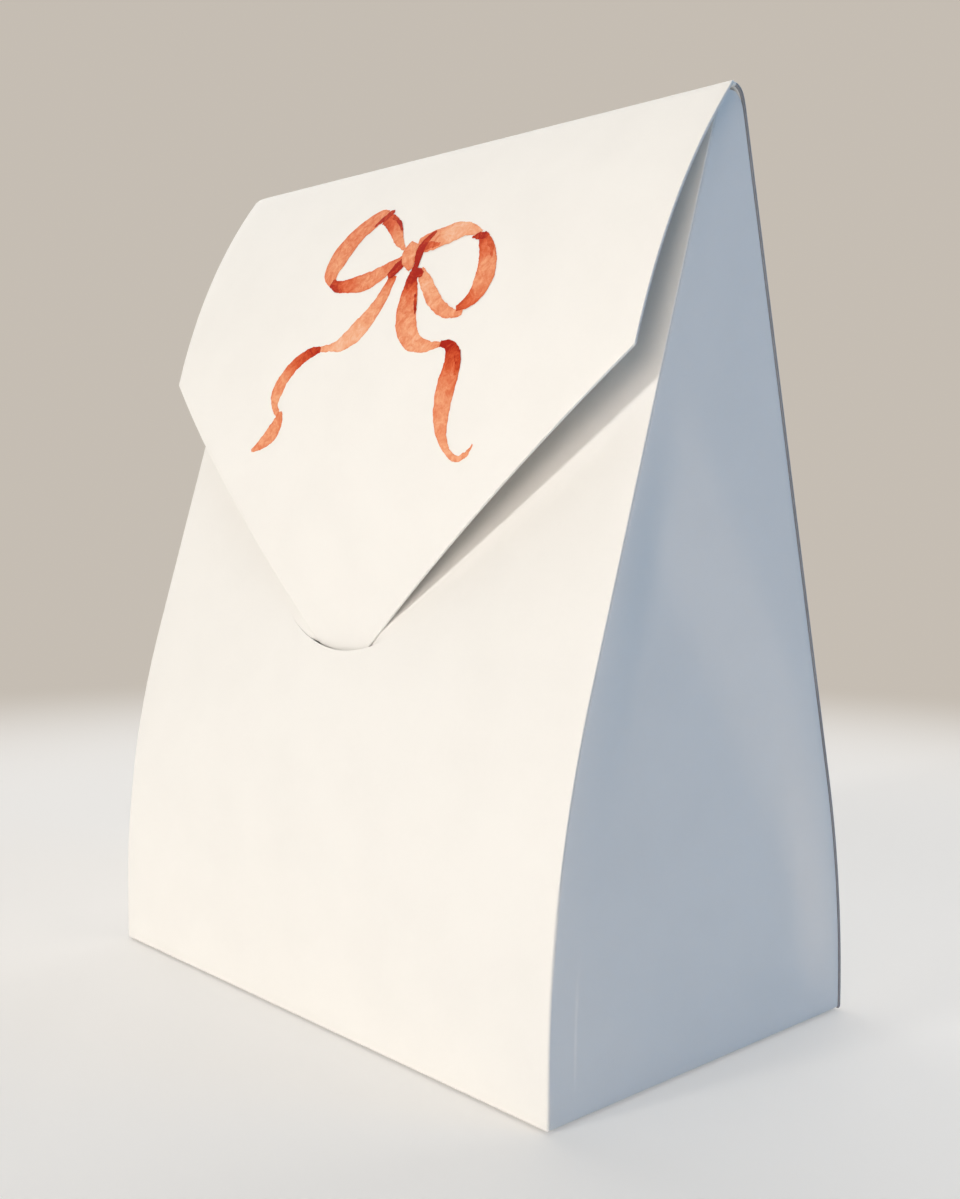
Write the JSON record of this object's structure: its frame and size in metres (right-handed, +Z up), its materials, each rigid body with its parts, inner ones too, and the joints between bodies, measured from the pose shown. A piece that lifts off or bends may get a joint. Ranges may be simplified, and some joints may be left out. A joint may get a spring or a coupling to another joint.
{
  "type": "favor box",
  "caption": "Tapered favor box of folded white card, whose wrap-over lid tucks a pointed tongue into a curved slit in the front.",
  "frame": {"origin": "middle of the base, on the surface that the box stands on", "axes": "+Z up, -Y to the front with the slit, +X to the box's right as seen from the front"},
  "size_m": [0.1044, 0.0618, 0.1279],
  "materials": {
    "white_card": "uncoated, smooth",
    "printed_card": "uncoated, smooth, with a watercolour-style print",
    "tab_card": "uncoated, smooth"
  },
  "bodies": {
    "box": {"bottom_panel": "white_card", "front_panel": "white_card", "right_side_panel": "white_card", "left_side_panel": "white_card", "front_right_glue_tab": "tab_card", "front_left_glue_tab": "tab_card", "right_front_tab": "tab_card", "left_front_tab": "tab_card", "right_back_lower_tab": "tab_card", "left_back_lower_tab": "tab_card", "right_back_upper_tab": "tab_card", "left_back_upper_tab": "tab_card"},
    "back": {"back_panel": "white_card"},
    "lid": {"lid_flap": "printed_card"}
  },
  "joints": [
    {"name": "back_fold", "type": "hinge", "parent": "box", "child": "back", "pos_m": [0, 0.0309, 0], "axis": [-1, 0, 0], "range_deg": [0, 14.1]},
    {"name": "lid_fold", "type": "hinge", "parent": "back", "child": "lid", "pos_m": [0, 0.00034, 0.1279], "axis": [-1, 0, 0], "range_deg": [0, 160]}
  ],
  "couplings": [
    {"joint": "back_fold", "follows": "lid_fold", "ratio": 0.088}
  ]
}
